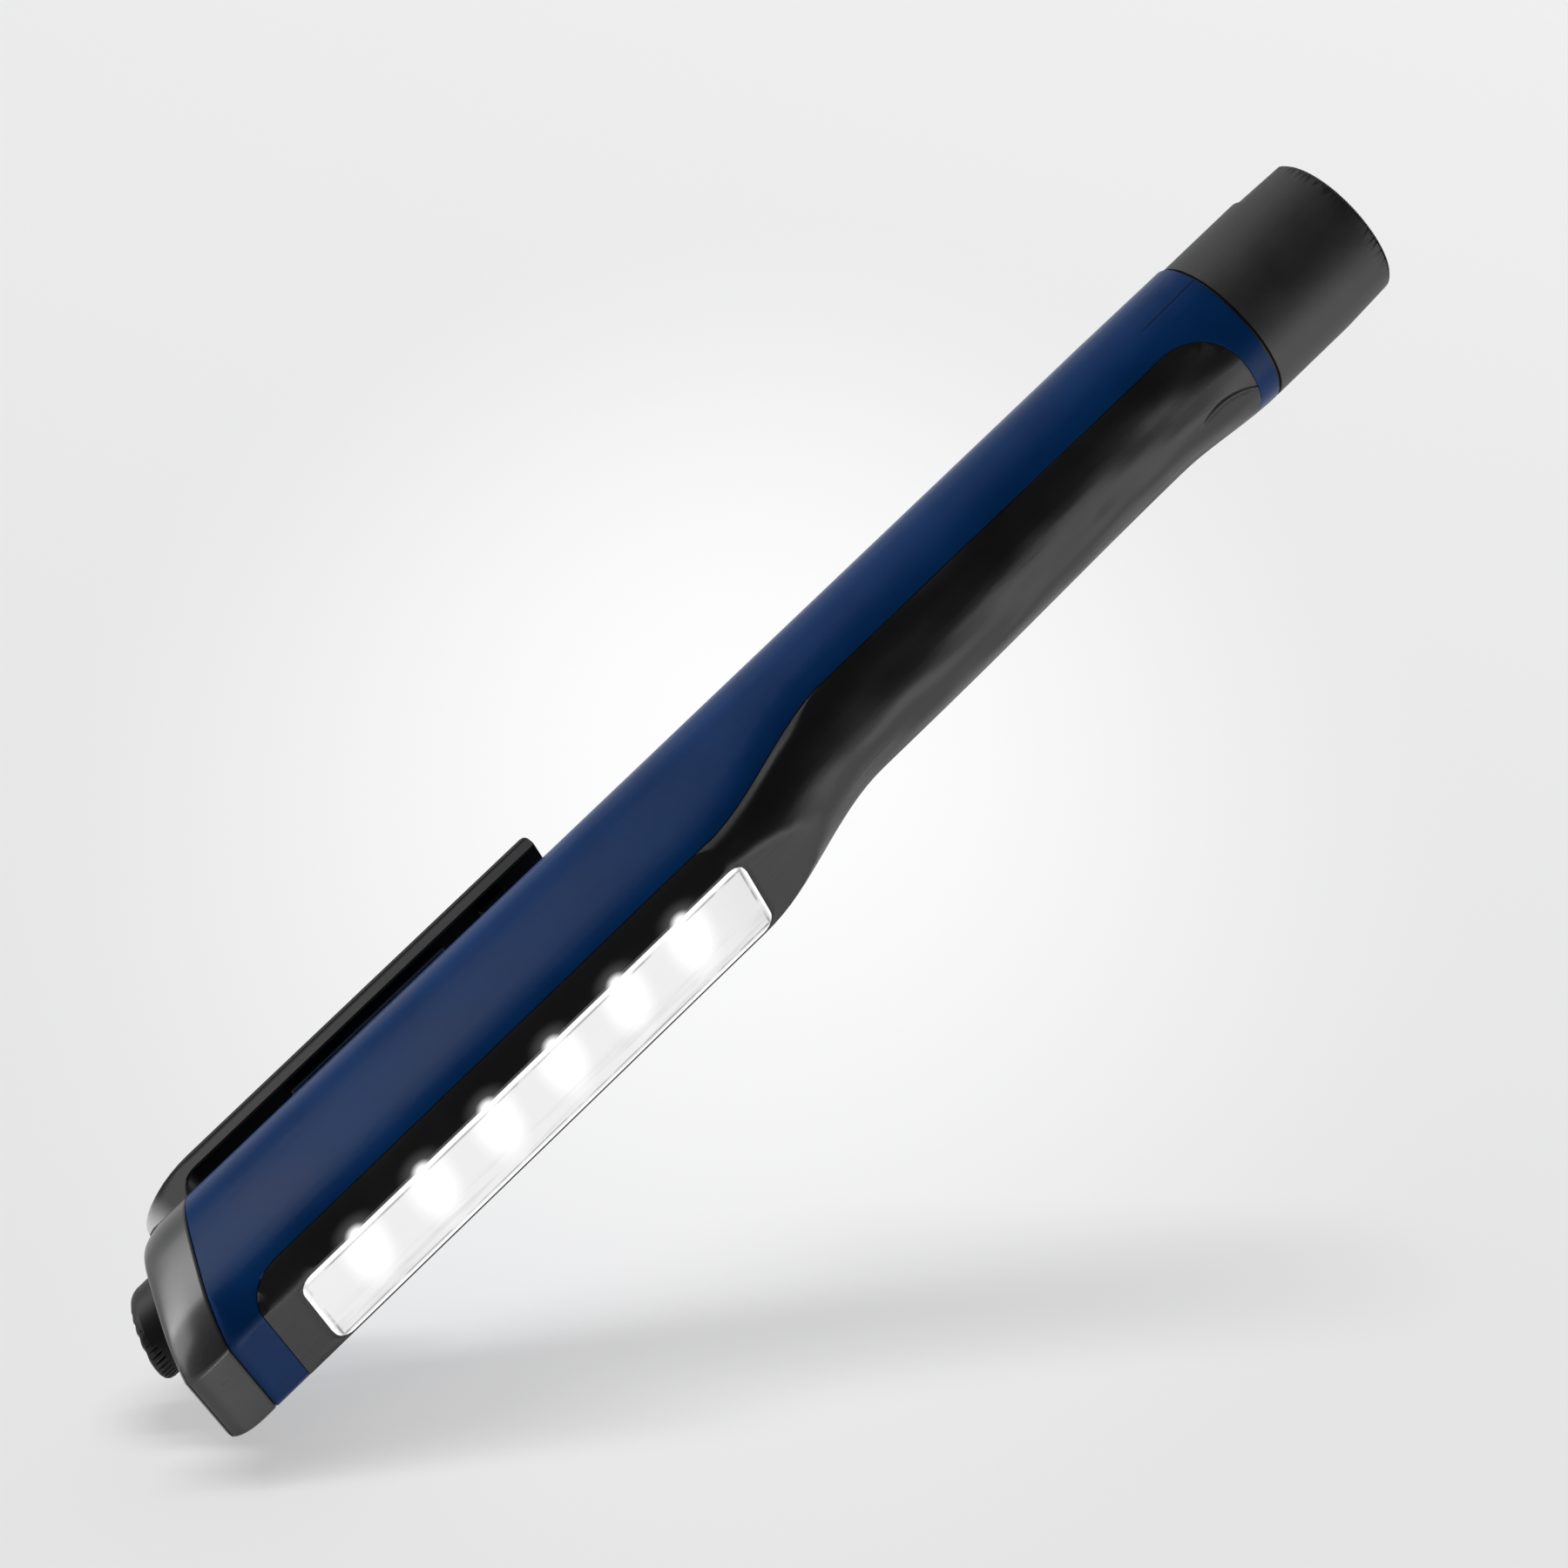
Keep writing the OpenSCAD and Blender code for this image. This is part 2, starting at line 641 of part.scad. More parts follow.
module cell_sleeve(index) {
    front = cell_front - index * cell_length;
    color("#8a8f96") difference() {
        rod(front - cell_length + 0.5, front - button_height - 0.4, cell_d / 2);
        rod(front - cell_length - 1, front + 1, cell_d / 2 - sleeve_wall);
    }
}

// The head: a threaded socket, a rib that carries the board, and a bore for the optics
socket_radius = spigot_radius + spigot_clearance;
rib_x = head_board_x + head_board_t;
rib_width = 1;
optics_x = rib_x + rib_width;
optics_radius = rim_radius - 0.9;
ring_width = 0.8;
lens_t = 0.9;
ring_x = head_length - 0.1 - ring_width;
reflector_front = ring_x - lens_t;
relief_shift = 2 * head_relief;
rim_edge = 0.3;

module head_shell() {
    color("#3a3a3c") difference() {
        turned([[0, 0], [0, head_radius], [barrel_length, head_radius],
            [head_length - rim_edge, rim_radius], [head_length, rim_radius - rim_edge],
            [head_length, 0]]);
        rod(-1, rib_x, socket_radius);
        rod(0, head_length, socket_radius - 0.6);
        rod(optics_x, far, optics_radius);
        // Shallow relief in the back of the front part, deeper towards the rim
        difference() {
            block([barrel_length, -far, -far], [far, far, 0]);
            translate([barrel_length, 0, relief_shift]) rotate([0, -relief_slope, 0])
                rod(-1, far + 1, head_radius + head_relief);
        }
    }
}

module head_board() {
    color("#2f6b3c") rod(head_board_x, rib_x, socket_radius - 0.06);
}

module head_contact() {
    color("#c9a24a") union() {
        rod(cell_front, head_board_x - 0.4, 1.7);
        rod(head_board_x - 0.5, head_board_x, 2.4);
    }
}

led_radius = 2.5;
led_body = 3;
module head_led() {
    color("#eef4ff", 0.8) union() {
        rod(rib_x, rib_x + 0.9, led_radius + 0.4);
        rod(rib_x, rib_x + 1 + led_body, led_radius);
        translate([rib_x + 1 + led_body, 0, 0]) sphere(r = led_radius, $fn = 64);
    }
}

// The reflector cup, a shell of even wall between two parabolas
cup_wall = 0.7;
cup_depth = reflector_front - optics_x;
cup_throat = led_radius + 0.15;
cup_mouth = optics_radius - 0.9;
function cup_radius(t) = sqrt(mix(cup_throat * cup_throat, cup_mouth * cup_mouth, t));
module head_reflector() {
    color("#d8dadd") turned(concat(
        [for (i = [0:12]) [optics_x + cup_depth * i / 12, cup_radius(i / 12)]],
        [[reflector_front, optics_radius - 0.05], [reflector_front - 0.8, optics_radius - 0.05]],
        [for (i = [10:-1:0]) [optics_x + cup_depth * i / 12, cup_radius(i / 12) + cup_wall]]));
}

module head_lens() {
    color("#e6f0ff", 0.4) rod(reflector_front, ring_x, optics_radius - 0.05);
}

module lens_ring() {
    color("#2c2c2e") difference() {
        rod(ring_x, ring_x + ring_width, optics_radius);
        rod(ring_x - 1, far, optics_radius - 0.9);
    }
}

body_shell();
front_insert();
strip_lens();
strip_reflector();
strip_board();
strip_leds();
strip_resistors();
tail_cap();
tail_spring();
tail_contact();
switch_board();
switch_body();
return_strip();
lead_pins();
seal_washer();
push_button();
switch_plunger();
button_spring();
cell_can(0);  // cell_1
cell_can(1);  // cell_2
cell_can(2);  // cell_3
cell_sleeve(0);  // sleeve_1
cell_sleeve(1);  // sleeve_2
cell_sleeve(2);  // sleeve_3
clip();
clip_magnet();
head_shell();
head_board();
head_contact();
head_led();
head_reflector();
head_lens();
lens_ring();
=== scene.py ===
# %% [markdown]
# # A pen flashlight with side lamps
#
# The flashlight is a moulded pen light. Its blue tube holds three cells, a swollen section carries
# six side lamps under one clear cover, and a screw-on head holds the end lamp. The solids already
# have the right form and size, so this lesson gives them fine edges, fine parts and finishes, and
# sets them up as in a product photograph.

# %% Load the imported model
from math import cos, pi, radians, sin
import bmesh
import bpy
from mathutils import Matrix, Vector


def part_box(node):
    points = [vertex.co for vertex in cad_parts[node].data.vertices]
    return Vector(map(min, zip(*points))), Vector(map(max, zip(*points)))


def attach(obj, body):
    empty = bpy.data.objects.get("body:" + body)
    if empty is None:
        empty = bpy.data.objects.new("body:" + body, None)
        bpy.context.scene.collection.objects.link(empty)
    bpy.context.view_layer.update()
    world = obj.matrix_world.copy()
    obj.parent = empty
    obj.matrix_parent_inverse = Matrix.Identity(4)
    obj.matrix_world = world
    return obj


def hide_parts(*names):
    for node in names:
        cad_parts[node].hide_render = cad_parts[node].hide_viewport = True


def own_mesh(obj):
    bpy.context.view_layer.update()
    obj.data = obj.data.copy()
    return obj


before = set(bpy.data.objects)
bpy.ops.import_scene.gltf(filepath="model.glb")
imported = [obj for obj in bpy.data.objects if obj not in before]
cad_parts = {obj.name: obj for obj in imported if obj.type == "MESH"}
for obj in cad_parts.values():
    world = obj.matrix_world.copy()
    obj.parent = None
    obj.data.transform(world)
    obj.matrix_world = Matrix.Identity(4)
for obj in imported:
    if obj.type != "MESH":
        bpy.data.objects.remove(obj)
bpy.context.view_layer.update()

scene = bpy.context.scene
MM = 0.001

# %% [markdown]
# ## The view
#
# The camera stands half a metre away, so the flashlight looks a little larger at its near end. Its
# place was worked out from known lengths on the flashlight: the cells set the scale, and the ends
# of the head, the seam and the lamp window set the turn. The flashlight lies along X, and a turn of
# 44 degrees lifts its head into the upper right corner.

# %% Camera
lift, swing = radians(50.0), radians(12.309)
roll, picture_turn = radians(-0.128), radians(44.0)
distance = 497.888
middle_along, middle_across = -65.358, 2.321
sensor_width, lens_length = 36, 115.32

side_view = Vector((0, sin(lift), cos(lift)))
side_down = Vector((0, -cos(lift), sin(lift)))
to_camera = side_view * cos(swing) - Vector((1, 0, 0)) * sin(swing)
flat_along = Vector((1, 0, 0)) * cos(swing) + side_view * sin(swing)
along = flat_along * cos(roll) + side_down * sin(roll)
across = side_down * cos(roll) - flat_along * sin(roll)
aim = Vector((middle_along, 0, 0)) + across * middle_across
picture_right = along * cos(picture_turn) + across * sin(picture_turn)
picture_up = along * sin(picture_turn) - across * cos(picture_turn)


def placed(spot, right, up, back):
    """One matrix from a spot in metres and the three directions of what stands there."""
    return Matrix.Translation(spot) @ Matrix((right, up, back)).transposed().to_4x4()


camera = bpy.data.objects.new("camera", bpy.data.cameras.new("camera"))
scene.collection.objects.link(camera)
camera.matrix_world = placed((aim + to_camera * distance) * MM,
                             picture_right, picture_up, to_camera)
camera.data.sensor_width = sensor_width
camera.data.lens = lens_length
camera.data.clip_start, camera.data.clip_end = 0.01, 20
scene.camera = camera
scene.view_settings.view_transform = "Standard"
print("camera stands at", [round(v, 3) for v in camera.location])

# %% [markdown]
# ## The studio lamps
#
# The photograph has broad light from the left and from the right, and little from the camera, so
# edges shine and the middle stays deep. Two large soft boxes do that, and a smaller one stands
# beyond the tail. The tail cap shows a broad bright band that its neighbours lack, so a fourth box
# stands close to it. A fifth lamp, high above, throws the soft shadow on the floor. Area lamps were
# chosen because their size and distance set how soft a highlight or a shadow is. The right box is
# found by light sampling alone.

# %% Lamps
def soft_box(name, direction, reach, width, height, power, level=along, target=aim):
    """A rectangular lamp in metres and watts that looks at a target, with its width along level."""
    lamp = bpy.data.lights.new(name, "AREA")
    lamp.shape = "RECTANGLE"
    lamp.size, lamp.size_y = width, height
    lamp.energy = power
    stand = bpy.data.objects.new(name, lamp)
    scene.collection.objects.link(stand)
    back = direction.normalized()
    side = level.cross(back).normalized()
    stand.matrix_world = placed(target * MM + back * reach, back.cross(side) * -1, side * -1, back)
    stand.visible_camera = False
    return stand


cap_middle = Vector((-147, 0, 0))
left_box = soft_box("left_soft_box", across * -0.95 + to_camera * 0.27 - along * 0.20,
                    reach=0.75, width=0.60, height=0.34, power=3.8)
right_box = soft_box("right_soft_box", across * 0.975 + to_camera * 0.20 + along * 0.15,
                     reach=0.75, width=0.84, height=0.40, power=2.45)
tail_box = soft_box("tail_soft_box", along * -0.86 - across * 0.42 + to_camera * 0.28,
                    reach=0.70, width=0.26, height=0.26, power=1.0)
cap_box = soft_box("cap_soft_box", across * -0.74 + to_camera * 0.62 - along * 0.35,
                   reach=0.40, width=0.34, height=0.38, power=1.6, target=cap_middle)
shadow_lamp = soft_box("shadow_lamp", picture_right * 0.22 + picture_up * 0.962 - to_camera * 0.080,
                       reach=1.80, width=1.00, height=0.16, power=21.5, level=picture_right)
right_box.data.cycles.use_multiple_importance_sampling = False

# %% [markdown]
# ## Helpers for nodes
#
# Finishes and lights are made of nodes, and many of those nodes only add and multiply. An amount
# stands for one output of a node, and plain sums with it add the Math nodes, so that a pattern can
# be read like a formula. The world uses these helpers first.

# %% Nodes
def add_node(owner, kind, **values):
    """A node with its numbers set by socket name, or by attribute where there is no such socket."""
    node = owner.node_tree.nodes.new(kind)
    for key, value in values.items():
        socket = key.replace("_", " ")
        if socket in node.inputs:
            node.inputs[socket].default_value = value
        else:
            setattr(node, key, value)
    return node


def connect(start, end):
    start.id_data.links.new(start, end)


def grey(level):
    return (level, level, level, 1)


print("a mid grey in linear light:", grey(0.5))


# %% Amounts
class Amount:
    """A number that changes from point to point, as one output of a node gives it."""

    def __init__(self, socket):
        self.socket = socket

    def __add__(self, other):
        return reckon("ADD", self, other)

    def __sub__(self, other):
        return reckon("SUBTRACT", self, other)

    def __rsub__(self, other):
        return reckon("SUBTRACT", other, self)

    def __mul__(self, other):
        return reckon("MULTIPLY", self, other)

    def __truediv__(self, other):
        return reckon("DIVIDE", self, other)

    def __abs__(self):
        return reckon("ABSOLUTE", self)


def plug(value, slot):
    """Joins an amount to an input, or sets the input to a plain number."""
    if isinstance(value, Amount):
        connect(value.socket, slot)
    else:
        slot.default_value = value


def reckon(operation, *values, clamp=False):
    """One Math node on amounts and plain numbers."""
    tree = next(value.socket.id_data for value in values if isinstance(value, Amount))
    node = tree.nodes.new("ShaderNodeMath")
    node.operation, node.use_clamp = operation, clamp
    for value, slot in zip(values, node.inputs):
        plug(value, slot)
    return Amount(node.outputs[0])


print("an amount can be added, taken away, multiplied and divided")


# %% Spans
def between(value, low, high, start=0.0, end=1.0):
    """Maps the span from low to high to another span, with soft ends."""
    node = value.socket.id_data.nodes.new("ShaderNodeMapRange")
    node.interpolation_type = "SMOOTHSTEP"
    for key, number in (("From Min", low), ("From Max", high), ("To Min", start), ("To Max", end)):
        node.inputs[key].default_value = number
    plug(value, node.inputs["Value"])
    return Amount(node.outputs["Result"])


def falls(value, low, high):
    """One below low, none above high."""
    return between(value, low, high, 1.0, 0.0)


print("two helpers map a span of an amount: between and falls")

# %% [markdown]
# ## The world
#
# For the camera, and through clear pieces, the world is an even pale backdrop. For all other rays
# it is dim, and it brightens to one side behind the flashlight, which gives the blue tube its pale
# grazing edge. Light Path keeps the two apart, so a pale picture needs no more light on the object.

# %% World
wall_start, wall_full = -0.1, 0.9
dim, bright = 0.06, 0.79
backdrop_level = 0.79

world = bpy.data.worlds.new("studio")
scene.world = world
world.use_nodes = True
world.node_tree.nodes.clear()
output = add_node(world, "ShaderNodeOutputWorld")
place = add_node(world, "ShaderNodeTexCoord")
toward_wall = add_node(world, "ShaderNodeVectorMath", operation="DOT_PRODUCT")
toward_wall.inputs[1].default_value = (across * -0.6 - to_camera * 0.8).normalized()
connect(place.outputs["Generated"], toward_wall.inputs[0])
fill = add_node(world, "ShaderNodeBackground", Color=(0.97, 0.98, 1.0, 1))
wall = between(Amount(toward_wall.outputs["Value"]), wall_start, wall_full, dim, bright)
plug(wall, fill.inputs["Strength"])
backdrop = add_node(world, "ShaderNodeBackground", Color=grey(backdrop_level), Strength=1.0)
rays = add_node(world, "ShaderNodeLightPath")
straight = reckon("MAXIMUM", Amount(rays.outputs["Is Camera Ray"]),
                  Amount(rays.outputs["Is Transmission Ray"]))
blend = add_node(world, "ShaderNodeMixShader")
plug(straight, blend.inputs["Fac"])
connect(fill.outputs["Background"], blend.inputs[1])
connect(backdrop.outputs["Background"], blend.inputs[2])
connect(blend.outputs["Shader"], output.inputs["Surface"])
print("world:", len(world.node_tree.nodes), "nodes")

# %% [markdown]
# ## The floor
#
# The floor is one large pale sheet that runs back under the flashlight and meets it at the tail
# cap's edge. It gives a pale glow of its own, brighter behind the flashlight's middle, and a plain
# matte part takes the shadow. Seen from below it is clear, so it hides nothing in the other views.
# It is clear for shadow rays too, because the right soft box stands lower than the floor.

# %% Floor
floor_tilt = radians(25.0)
floor_size = 6.0
touch_point = Vector((-147.0, -6.5, 10.0))
glow_right, glow_behind = 45.3, 151.6
head_end = Vector((16.6, 0, 0))

floor_up = picture_up * cos(floor_tilt) + to_camera * sin(floor_tilt)
floor_back = floor_up.cross(picture_right)
glow_middle = touch_point + picture_right * glow_right + floor_back * glow_behind
bpy.ops.object.select_all(action="DESELECT")
bpy.ops.mesh.primitive_plane_add(size=floor_size)
floor = bpy.context.object
floor.name = "floor"
floor.matrix_world = placed(glow_middle * MM, picture_right, floor_back, floor_up)
print("floor passes", round((head_end - touch_point).dot(floor_up)), "mm under the head")

# %% Paper for the floor
glow_scale = (11.0, 4.65, 0)
outer_glow, middle_glow = 0.465, 0.65
matte_grey = 0.42

paper = bpy.data.materials.new("studio_paper")
paper.use_nodes = True
paper.node_tree.nodes.clear()
output = add_node(paper, "ShaderNodeOutputMaterial")
place = add_node(paper, "ShaderNodeTexCoord")
oval = add_node(paper, "ShaderNodeMapping", Scale=glow_scale)
round_glow = add_node(paper, "ShaderNodeTexGradient", gradient_type="SPHERICAL")
glow_ramp = add_node(paper, "ShaderNodeValToRGB")
glow_ramp.color_ramp.interpolation = "EASE"
glow_ramp.color_ramp.elements[0].color = grey(outer_glow)
glow_ramp.color_ramp.elements[1].color = grey(middle_glow)
glow = add_node(paper, "ShaderNodeEmission", Strength=1.0)
matte = add_node(paper, "ShaderNodeBsdfDiffuse", Color=grey(matte_grey))
both = add_node(paper, "ShaderNodeAddShader")
clear = add_node(paper, "ShaderNodeBsdfTransparent")
facing = add_node(paper, "ShaderNodeNewGeometry")
rays = add_node(paper, "ShaderNodeLightPath")
side_switch = add_node(paper, "ShaderNodeMixShader")
connect(place.outputs["Object"], oval.inputs["Vector"])
connect(oval.outputs["Vector"], round_glow.inputs["Vector"])
connect(round_glow.outputs["Fac"], glow_ramp.inputs["Fac"])
connect(glow_ramp.outputs["Color"], glow.inputs["Color"])
connect(glow.outputs["Emission"], both.inputs[0])
connect(matte.outputs["BSDF"], both.inputs[1])
plug(reckon("MAXIMUM", Amount(facing.outputs["Backfacing"]), Amount(rays.outputs["Is Shadow Ray"])),
     side_switch.inputs["Fac"])
connect(both.outputs["Shader"], side_switch.inputs[1])
connect(clear.outputs["BSDF"], side_switch.inputs[2])
connect(side_switch.outputs["Shader"], output.inputs["Surface"])
floor.data.materials.append(paper)
print("paper:", len(paper.node_tree.nodes), "nodes")

# %% [markdown]
# ## Finishes
#
# Every finish is built from the same few steps: a grain in the surface, a slow change of colour and
# a slow change of roughness. All of it reads Object coordinates, which are metres in the
# flashlight's own frame, so the grain keeps its real size on each piece.

# %% Helper for finishes
def colour(red, green, blue):
    """A colour as it is read off a screen, turned into the linear values that shaders use."""
    def linear(v):
        v /= 255
        return v / 12.92 if v <= 0.04045 else ((v + 0.055) / 1.055) ** 2.4
    return (linear(red), linear(green), linear(blue), 1)


def shader_of(material):
    return material.node_tree.nodes["Principled BSDF"]


def finish(name, deep, pale, rough=0.4, rough_change=0.08, grain=3000, grain_depth=6e-6,
           patch=90, **fixed):
    """A moulded or metal finish. Grain and patch are in cells per metre, grain_depth in metres."""
    material = bpy.data.materials.new(name)
    material.use_nodes = True
    shader = shader_of(material)
    for key, value in fixed.items():
        shader.inputs[key.replace("_", " ")].default_value = value
    place = add_node(material, "ShaderNodeTexCoord", name="place")
    slow = add_node(material, "ShaderNodeTexNoise", Scale=patch, Detail=4.0, Roughness=0.6)
    fine = add_node(material, "ShaderNodeTexNoise", Scale=grain, Detail=2.0)
    connect(place.outputs["Object"], slow.inputs["Vector"])
    connect(place.outputs["Object"], fine.inputs["Vector"])
    ramp = add_node(material, "ShaderNodeValToRGB", name="ramp")
    ramp.color_ramp.elements[0].position, ramp.color_ramp.elements[0].color = 0.35, deep
    ramp.color_ramp.elements[1].position, ramp.color_ramp.elements[1].color = 0.65, pale
    connect(slow.outputs["Fac"], ramp.inputs["Fac"])
    connect(ramp.outputs["Color"], shader.inputs["Base Color"])
    spread = add_node(material, "ShaderNodeMapRange")
    spread.inputs["To Min"].default_value = rough - rough_change
    spread.inputs["To Max"].default_value = rough + rough_change
    connect(slow.outputs["Fac"], spread.inputs["Value"])
    connect(spread.outputs["Result"], shader.inputs["Roughness"])
    bump = add_node(material, "ShaderNodeBump", name="bump", Strength=0.6, Distance=grain_depth)
    connect(fine.outputs["Fac"], bump.inputs["Height"])
    connect(bump.outputs["Normal"], shader.inputs["Normal"])
    return material


print("a screen grey of 128 is %.3f in linear light" % colour(128, 128, 128)[0])

# %% [markdown]
# ## Patterns on a finish
#
# A mould leaves lines, creases and waves, and some pieces have a spot of a second colour. Each of
# them is an amount over the surface. It can stand up as a bump, lay a second colour over the first,
# or give light. Drawing them this way keeps the mesh small.

# %% Helpers for patterns
def coordinates(material):
    """Object coordinates in millimetres, as three amounts."""
    scaled = add_node(material, "ShaderNodeVectorMath", operation="SCALE")
    scaled.inputs["Scale"].default_value = 1 / MM
    connect(material.node_tree.nodes["place"].outputs["Object"], scaled.inputs[0])
    parts = add_node(material, "ShaderNodeSeparateXYZ")
    connect(scaled.outputs["Vector"], parts.inputs["Vector"])
    return [Amount(part) for part in parts.outputs]


def stretched_noise(material, scale, detail=3.0):
    """Noise with its own scale along each axis, in cells per metre."""
    stretched = add_node(material, "ShaderNodeMapping", Scale=scale)
    noise = add_node(material, "ShaderNodeTexNoise", Scale=1.0, Detail=detail)
    connect(material.node_tree.nodes["place"].outputs["Object"], stretched.inputs["Vector"])
    connect(stretched.outputs["Vector"], noise.inputs["Vector"])
    return Amount(noise.outputs["Fac"])


def carve(material, height, depth):
    """Adds a bump, depth in mm, so that a pattern stands up from a finish or goes into it."""
    normal = shader_of(material).inputs["Normal"]
    before = normal.links[0].from_socket
    bump = add_node(material, "ShaderNodeBump", Strength=1.0, Distance=depth * MM)
    plug(height, bump.inputs["Height"])
    connect(before, bump.inputs["Normal"])
    connect(bump.outputs["Normal"], normal)


def paint(material, second, amount):
    """Lays a second colour over a finish, as strongly as an amount says."""
    mixed = add_node(material, "ShaderNodeMixRGB", Color2=second)
    connect(material.node_tree.nodes["ramp"].outputs["Color"], mixed.inputs["Color1"])
    plug(amount, mixed.inputs["Fac"])
    connect(mixed.outputs["Color"], shader_of(material).inputs["Base Color"])


def soften(material, radius, mask):
    """Shades sharp edges as if rounded by a radius in mm, where the mask is one."""
    rounded = add_node(material, "ShaderNodeBevel", samples=8)
    plug(mask * (radius * MM), rounded.inputs["Radius"])
    connect(rounded.outputs["Normal"], material.node_tree.nodes["bump"].inputs["Normal"])


def glowing(material, amount):
    """Lets a finish give white light of its own, as much as an amount says."""
    plug(amount, shader_of(material).inputs["Emission Color"])
    shader_of(material).inputs["Emission Strength"].default_value = 1.0


print("pattern helpers: coordinates, noise, carve, paint, soften, glowing")

# %% [markdown]
# ## Skins for the moulded pieces
#
# The solids have sharp edges, as a drawing has. Every moulded edge is really a little round, and
# catches a thin line of light. A merged copy of each solid gets such a radius from a bevel, and is
# shaded smooth between its edges. The copy then stands in for the solid. A limited bevel can't run
# into itself, but one very short edge then keeps all radii small. The tube and the cap come out
# clean without that limit, and so get their full radius.

# %% Helpers for edit mode
def choose(piece):
    """Makes one piece the only selected and the active one."""
    bpy.ops.object.select_all(action="DESELECT")
    piece.select_set(True)
    bpy.context.view_layer.objects.active = piece


def edit(piece, pick="SELECT"):
    """Opens one piece in edit mode, with everything selected or nothing."""
    choose(piece)
    bpy.ops.object.mode_set(mode="EDIT")
    bpy.ops.mesh.select_all(action=pick)


def close_edit():
    bpy.ops.object.mode_set(mode="OBJECT")


def face_outwards():
    """Turns all faces of the open piece outwards."""
    bpy.ops.mesh.select_all(action="SELECT")
    bpy.ops.mesh.normals_make_consistent(inside=False)


def apply_modifier(piece, name, kind, **values):
    """Adds one modifier with its settings and applies it."""
    choose(piece)
    modifier = piece.modifiers.new(name, kind)
    for key, value in values.items():
        setattr(modifier, key, value)
    bpy.ops.object.modifier_apply(modifier=modifier.name)


def shade(piece, smooth=35):
    """Smooth shading up to an angle, led by the wide faces."""
    choose(piece)
    bpy.ops.object.shade_smooth_by_angle(angle=radians(smooth))
    apply_modifier(piece, "wide_faces_lead", "WEIGHTED_NORMAL", mode="FACE_AREA", weight=80,
                   keep_sharp=True)


print("edit helpers: choose, edit, close_edit, face_outwards, apply_modifier, shade")


# %% Helper for the front edges
def pick_front_edges(piece):
    """Selects the two long edges where the flat front meets the round sides."""
    front_height, least_off_middle = 9.9, 3
    lengthwise_share, least_bend, most_bend = 0.8, radians(25), radians(60)
    bpy.ops.mesh.select_all(action="DESELECT")
    bpy.ops.mesh.select_mode(type="EDGE")
    shape = bmesh.from_edit_mesh(piece.data)
    for edge in shape.edges:
        run = edge.verts[1].co - edge.verts[0].co
        middle = (edge.verts[0].co + edge.verts[1].co) / (2 * MM)
        lengthwise = abs(run.x) > lengthwise_share * run.length
        bent = least_bend < edge.calc_face_angle(0) < most_bend
        edge.select_set(lengthwise and bent and middle.z > front_height
                        and abs(middle.y) > least_off_middle)
    bmesh.update_edit_mesh(piece.data)
    print("front edges:", sum(edge.select for edge in shape.edges))


# %% Helper for the skins
def skin(node, name, body, material, radius=0.1, steps=2, smooth=35, slices=(), front=0,
         limited=True):
    """A merged, edge-rounded copy of a solid, which takes its place. Lengths are in mm."""
    merge_within, flat_below, round_above = 0.002, radians(0.4), radians(30)
    solid = bpy.data.objects[node]
    piece = bpy.data.objects.new(name, solid.data.copy())
    scene.collection.objects.link(piece)
    piece.data.materials.clear()
    piece.data.materials.append(material)
    edit(piece)
    bpy.ops.mesh.remove_doubles(threshold=merge_within * MM)
    bpy.ops.mesh.dissolve_limited(angle_limit=flat_below)
    if front:
        pick_front_edges(piece)
        bpy.ops.mesh.bevel(offset=front * MM, segments=6)
    for x in slices:
        bpy.ops.mesh.select_all(action="SELECT")
        bpy.ops.mesh.bisect(plane_co=(x * MM, 0, 0), plane_no=(1, 0, 0))
    close_edit()
    if radius:
        apply_modifier(piece, "edge_radius", "BEVEL", width=radius * MM, segments=steps,
                       limit_method="ANGLE", angle_limit=round_above, use_clamp_overlap=limited)
    shade(piece, smooth)
    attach(piece, body)
    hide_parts(node)
    print(name, "has", len(piece.data.polygons), "faces")
    return piece


# %% [markdown]
# ## Where the six side lamps and the seam are
#
# The lamps repeat along X at one pitch. A glow around each of them is drawn by distance: the
# nearest lamp is found by rounding, and the distance to it fades the glow. The slanted seam between
# the tube and the tail cap is a plane, so the distance to it is a sum of X and Z.

# %% Distance to the nearest side lamp, and to the seam
first_lamp, lamp_pitch, lamp_count = -127.65, 8.64, 6
seam_behind, seam_slope = 142.85, 0.4557


def lamp_distance(x, off_y, stretch_x=1.0, stretch_y=1.0):
    """Distance in mm to the nearest lamp, from X and a distance across, with a stretch on each."""
    nearest = reckon("ROUND", (x - first_lamp) / lamp_pitch)
    nearest = reckon("MINIMUM", reckon("MAXIMUM", nearest, 0.0), lamp_count - 1.0)
    off_x = (x - (nearest * lamp_pitch + first_lamp)) / stretch_x
    off_y = off_y / stretch_y
    return reckon("SQRT", off_x * off_x + off_y * off_y)


def from_seam(x, z):
    """Distance along X, in mm, in front of the slanted seam. It is negative on the cap."""
    return x + seam_behind + z * seam_slope


print("lamps at x =", [round(first_lamp + lamp_pitch * step, 2) for step in range(lamp_count)])

# %% [markdown]
# ## Blue tube
#
# The tube is moulded in a satin blue plastic in two halves of a mould. The halves leave a fine
# parting line in the plane of the axis, which shows near the head. It could be cut in the mesh, but
# a bump is enough for a line this fine, and a darker blue painted along it is painted shade in its
# groove. A few cuts across the long faces keep the shading even.

# %% Blue finish
blue = finish("satin_blue_plastic", colour(3, 41, 86), colour(4, 47, 95), rough=0.32,
              grain=5200, grain_depth=8e-6, Specular_IOR_Level=0.085)
line_core, line_edge, line_painted_shade = 0.02, 0.09, 0.8
line_start, line_full = -8.6, -7.2
end_start, end_full = -141.3, -142.0
clear_of_seam, well_clear = 0.6, 1.4
long_grain = (160, 700, 700)

